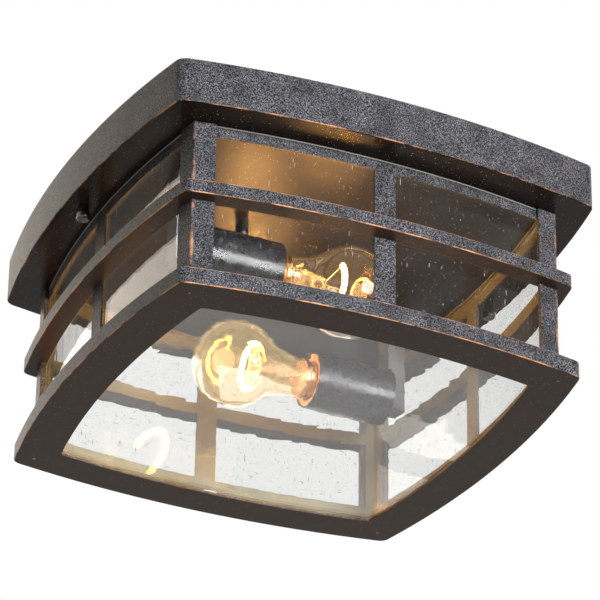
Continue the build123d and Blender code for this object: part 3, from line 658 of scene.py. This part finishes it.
seeding, given = node_tree("seeds_in_a_pane", {
    "Density": "Float", "Facing": "Vector", "Draw": "Vector", "Seed": "Int", "Material": "Material"})
normal = put(seeding, "GeometryNodeInputNormal").outputs["Normal"]
position = put(seeding, "GeometryNodeInputPosition").outputs[0]
outward = put(seeding, "ShaderNodeVectorMath", {0: position, 1: given["Facing"]}, operation="MULTIPLY")
facing = put(seeding, "ShaderNodeVectorMath", {0: normal, 1: outward.outputs[0]}, operation="DOT_PRODUCT")
outer = put(seeding, "FunctionNodeCompare", {
    0: facing.outputs["Value"], 1: OUTER_FACE}, operation="GREATER_THAN")
points = put(seeding, "GeometryNodeDistributePointsOnFaces", {
    "Mesh": given["Geometry"], "Selection": outer.outputs[0], "Density": given["Density"],
    "Seed": given["Seed"]})
depth = put(seeding, "FunctionNodeRandomValue", {**SEED_DEPTHS, "Seed": DEPTH_LOT}, data_type="FLOAT")
inward = put(seeding, "ShaderNodeVectorMath", {
    0: points.outputs["Normal"], "Scale": depth.outputs[1]}, operation="SCALE")
sunk = put(seeding, "GeometryNodeSetPosition", {
    "Geometry": points.outputs["Points"], "Offset": inward.outputs[0]})
print("seeds lie", [round(-1000 * deep, 1) for deep in SEED_DEPTHS.values()], "mm below the outer face")

# %% How long and thick the seeds are
SEED_RADII = {"To Min": 0.00009, "To Max": 0.00025}
SEED_STRETCH = {"To Min": 0.3, "To Max": 14.0}
SIZE_LOT = 2
LENGTH_LOT = 3
# A lot between nought and one, raised to a power, makes small values common and large ones rare.
FEW_LARGE = 2.0
FEW_LONG = 12.0
SEED_SEGMENTS = 6
SEED_RINGS = 4

size_lot = put(seeding, "FunctionNodeRandomValue", {2: 0.0, 3: 1.0, "Seed": SIZE_LOT}, data_type="FLOAT")
length_lot = put(seeding, "FunctionNodeRandomValue", {
    2: 0.0, 3: 1.0, "Seed": LENGTH_LOT}, data_type="FLOAT")
few_large = put(seeding, "ShaderNodeMath", {0: size_lot.outputs[1], 1: FEW_LARGE}, operation="POWER")
radius = put(seeding, "ShaderNodeMapRange", {"Value": few_large.outputs[0], **SEED_RADII})
few_long = put(seeding, "ShaderNodeMath", {0: length_lot.outputs[1], 1: FEW_LONG}, operation="POWER")
longer = put(seeding, "ShaderNodeMapRange", {"Value": few_long.outputs[0], **SEED_STRETCH})
along = put(seeding, "ShaderNodeVectorMath", {
    0: given["Draw"], "Scale": longer.outputs[0]}, operation="SCALE")
stretch = put(seeding, "ShaderNodeVectorMath", {0: along.outputs[0], 1: (1, 1, 1)}, operation="ADD")
size = put(seeding, "ShaderNodeVectorMath", {
    0: stretch.outputs[0], "Scale": radius.outputs[0]}, operation="SCALE")
bubble = put(seeding, "GeometryNodeMeshUVSphere", {
    "Segments": SEED_SEGMENTS, "Rings": SEED_RINGS, "Radius": 1.0})
bubbles = put(seeding, "GeometryNodeInstanceOnPoints", {
    "Points": sunk.outputs[0], "Instance": bubble.outputs["Mesh"], "Scale": size.outputs[0]})
real = put(seeding, "GeometryNodeRealizeInstances", {"Geometry": bubbles.outputs[0]})
smooth = put(seeding, "GeometryNodeSetShadeSmooth", {"Geometry": real.outputs[0]})
dressed = put(seeding, "GeometryNodeSetMaterial", {
    "Geometry": smooth.outputs[0], "Material": given["Material"]})
put(seeding, "NodeGroupOutput", {"Geometry": dressed.outputs[0]})
print(seeding.name, "nodes:", len(seeding.nodes))

# %% Seeds of each pane
# Seeds on a square metre of pane.
SEED_DENSITY = 56000.0
UPRIGHT = {"Facing": (1.0, 1.0, 0.0), "Draw": (0.0, 0.0, 1.0)}
LYING = {"Facing": (0.0, 0.0, 1.0), "Draw": (1.0, 0.0, 0.0)}
PANES = {
    "side_glass_front": (UPRIGHT, seed_lit),
    "side_glass_right": (UPRIGHT, seed_dim),
    "side_glass_back": (UPRIGHT, seed_dim),
    "side_glass_left": (UPRIGHT, seed_lit),
    "bottom_glass": (LYING, seed_dim),
}
for seed, (pane, (lie, look)) in enumerate(PANES.items()):
    seeds = grown(f"seeds_{pane}", frame["nodes"][pane].data.copy(), seeding, {
        "Density": SEED_DENSITY, "Seed": seed, "Material": look, **lie})
    seeds.visible_shadow = False
    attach(seeds, "housing")
    print(pane, "faces in its seeds:", len(seeds.data.polygons))

# %% [markdown]
# ## Filaments
# A tungsten filament is a wire wound to a long coil, and the coil is bent to part of a ring round the
# stem. The coil follows a path, so a node tree winds it: points along the ring step round it as they go.
# It is wound from thicker wire than a real one, because at this size that would not show.

# %% A coil along a ring
RING_RADIUS = 0.016
RING_FROM = radians(-85.0)
RING_TO = radians(140.0)
RING_STEPS = 64
STEPS_A_TURN = 10
LAMP_AXIS = (1, 0, 0)

winding, given = node_tree("wound_filament", {
    "Coil Radius": "Float", "Wire Radius": "Float", "Turns": "Float", "Screwed To": "Float",
    "Half Turn": "Float", "Material": "Material"})
ring_points = [FILAMENT_CENTRE + Vector((0, cos(turn), sin(turn))) * RING_RADIUS
               for turn in (RING_FROM, (RING_FROM + RING_TO) / 2, RING_TO)]
ring = put(winding, "GeometryNodeCurveArc", {
    "Resolution": RING_STEPS, "Start": ring_points[0], "Middle": ring_points[1],
    "End": ring_points[2]}, mode="POINTS")
count = put(winding, "ShaderNodeMath", {0: given["Turns"], 1: STEPS_A_TURN}, operation="MULTIPLY")
path = put(winding, "GeometryNodeResampleCurve", {
    "Curve": ring.outputs["Curve"], "Count": count.outputs[0]})
position = put(winding, "GeometryNodeInputPosition").outputs[0]
outwards = put(winding, "ShaderNodeVectorMath", {0: position, 1: FILAMENT_CENTRE}, operation="SUBTRACT")
outwards = put(winding, "ShaderNodeVectorMath", {0: outwards.outputs[0]}, operation="NORMALIZE")
gone = put(winding, "GeometryNodeSplineParameter").outputs["Factor"]
angle = put(winding, "ShaderNodeMath", {0: gone, 1: given["Turns"]}, operation="MULTIPLY")
angle = put(winding, "ShaderNodeMath", {0: angle.outputs[0], 1: 2 * pi}, operation="MULTIPLY")
cosine = put(winding, "ShaderNodeMath", {0: angle.outputs[0]}, operation="COSINE")
sine = put(winding, "ShaderNodeMath", {0: angle.outputs[0]}, operation="SINE")
away = put(winding, "ShaderNodeVectorMath", {
    0: outwards.outputs[0], "Scale": cosine.outputs[0]}, operation="SCALE")
aside = put(winding, "ShaderNodeVectorMath", {0: LAMP_AXIS, "Scale": sine.outputs[0]}, operation="SCALE")
step = put(winding, "ShaderNodeVectorMath", {0: away.outputs[0], 1: aside.outputs[0]}, operation="ADD")
step = put(winding, "ShaderNodeVectorMath", {
    0: step.outputs[0], "Scale": given["Coil Radius"]}, operation="SCALE")
wound = put(winding, "GeometryNodeSetPosition", {
    "Geometry": path.outputs[0], "Offset": step.outputs[0]})
print("ring of", round(2000 * RING_RADIUS), "mm with", STEPS_A_TURN, "points a turn")

# %% The coil as a wire, set in its lamp
WIRE_SIDES = 6

wire = put(winding, "GeometryNodeCurvePrimitiveCircle", {
    "Resolution": WIRE_SIDES, "Radius": given["Wire Radius"]})
coil = put(winding, "GeometryNodeCurveToMesh", {
    "Curve": wound.outputs[0], "Profile Curve": wire.outputs["Curve"], "Fill Caps": True})
home = put(winding, "GeometryNodeTransform", {
    "Geometry": coil.outputs[0], "Translation": -FILAMENT_CENTRE})
about_x = put(winding, "ShaderNodeCombineXYZ", {"X": given["Screwed To"]})
screwed = put(winding, "GeometryNodeTransform", {
    "Geometry": home.outputs[0], "Rotation": about_x.outputs[0]})
placed = put(winding, "GeometryNodeTransform", {
    "Geometry": screwed.outputs[0], "Translation": FILAMENT_CENTRE})
about_z = put(winding, "ShaderNodeCombineXYZ", {"Z": given["Half Turn"]})
turned = put(winding, "GeometryNodeTransform", {
    "Geometry": placed.outputs[0], "Rotation": about_z.outputs[0]})
real = put(winding, "GeometryNodeRealizeInstances", {"Geometry": turned.outputs[0]})
dressed = put(winding, "GeometryNodeSetMaterial", {
    "Geometry": real.outputs[0], "Material": given["Material"]})
put(winding, "NodeGroupOutput", {"Geometry": dressed.outputs[0]})
print(winding.name, "nodes:", len(winding.nodes))

# %% Filament of each lamp
# The lamps are screwed home to different angles, so their coils do not look alike.
COIL = {"Coil Radius": 0.0015, "Wire Radius": 0.00042, "Turns": 56.0}
SCREWED_TO = {"back": 0.0, "front": radians(-100.0)}
HALF_TURN = {"back": 0.0, "front": pi}
for lamp in ("back", "front"):
    filament = grown(f"filament_coil_{lamp}", bpy.data.meshes.new("nothing"), winding, {
        **COIL, "Screwed To": SCREWED_TO[lamp], "Half Turn": HALF_TURN[lamp], "Material": hot})
    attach(filament, f"lamp_{lamp}")
    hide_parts(f"filament_{lamp}")
    print(filament.name, "faces:", len(filament.data.polygons))
